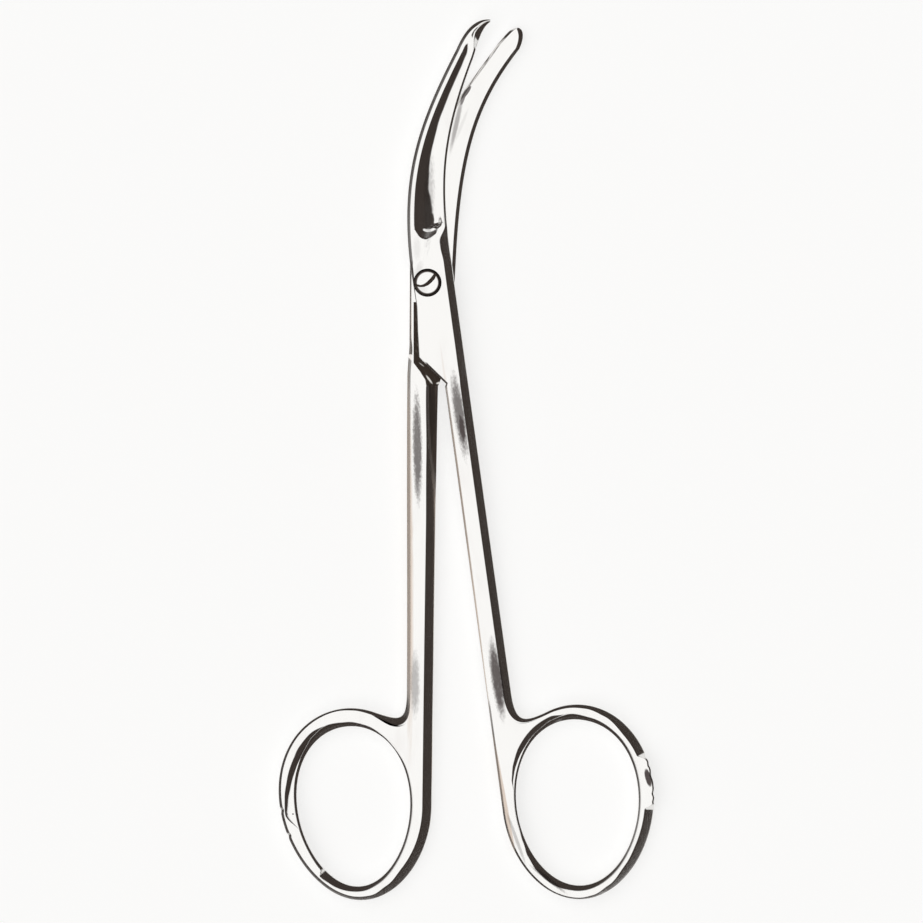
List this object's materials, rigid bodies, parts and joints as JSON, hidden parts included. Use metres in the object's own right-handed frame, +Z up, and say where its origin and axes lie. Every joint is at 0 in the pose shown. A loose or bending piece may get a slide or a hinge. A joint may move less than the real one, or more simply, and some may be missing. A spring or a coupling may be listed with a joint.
{
  "type": "suture scissors",
  "caption": "Steel suture scissors with curved hollow-ground blades, one tip hooked and one blunt, crossing on a slotted screw, with oval finger rings.",
  "frame": {"origin": "on the pivot axis, in the plane that the scissors lie on, where the screw's flush end meets the underside of the blunt half", "axes": "+Y towards the blade tips along the blunt half's shank, +X towards the hooked half's finger ring, +Z up through the screw head"},
  "size_m": [0.0515, 0.1208, 0.0035],
  "materials": {
    "polished_steel": "polished, with fine hairlines, small nicks and faint grey stains",
    "screw_steel": "polished"
  },
  "bodies": {
    "blunt_body": {"blunt_half": "polished_steel", "pivot_screw": "screw_steel"},
    "hooked_body": {"hooked_half": "polished_steel"}
  },
  "joints": [
    {"name": "pivot", "type": "hinge", "parent": "blunt_body", "child": "hooked_body", "pos_m": [0, 0, 0.0016], "axis": [0, 0, 1], "range_deg": [-7.5, 132]}
  ]
}
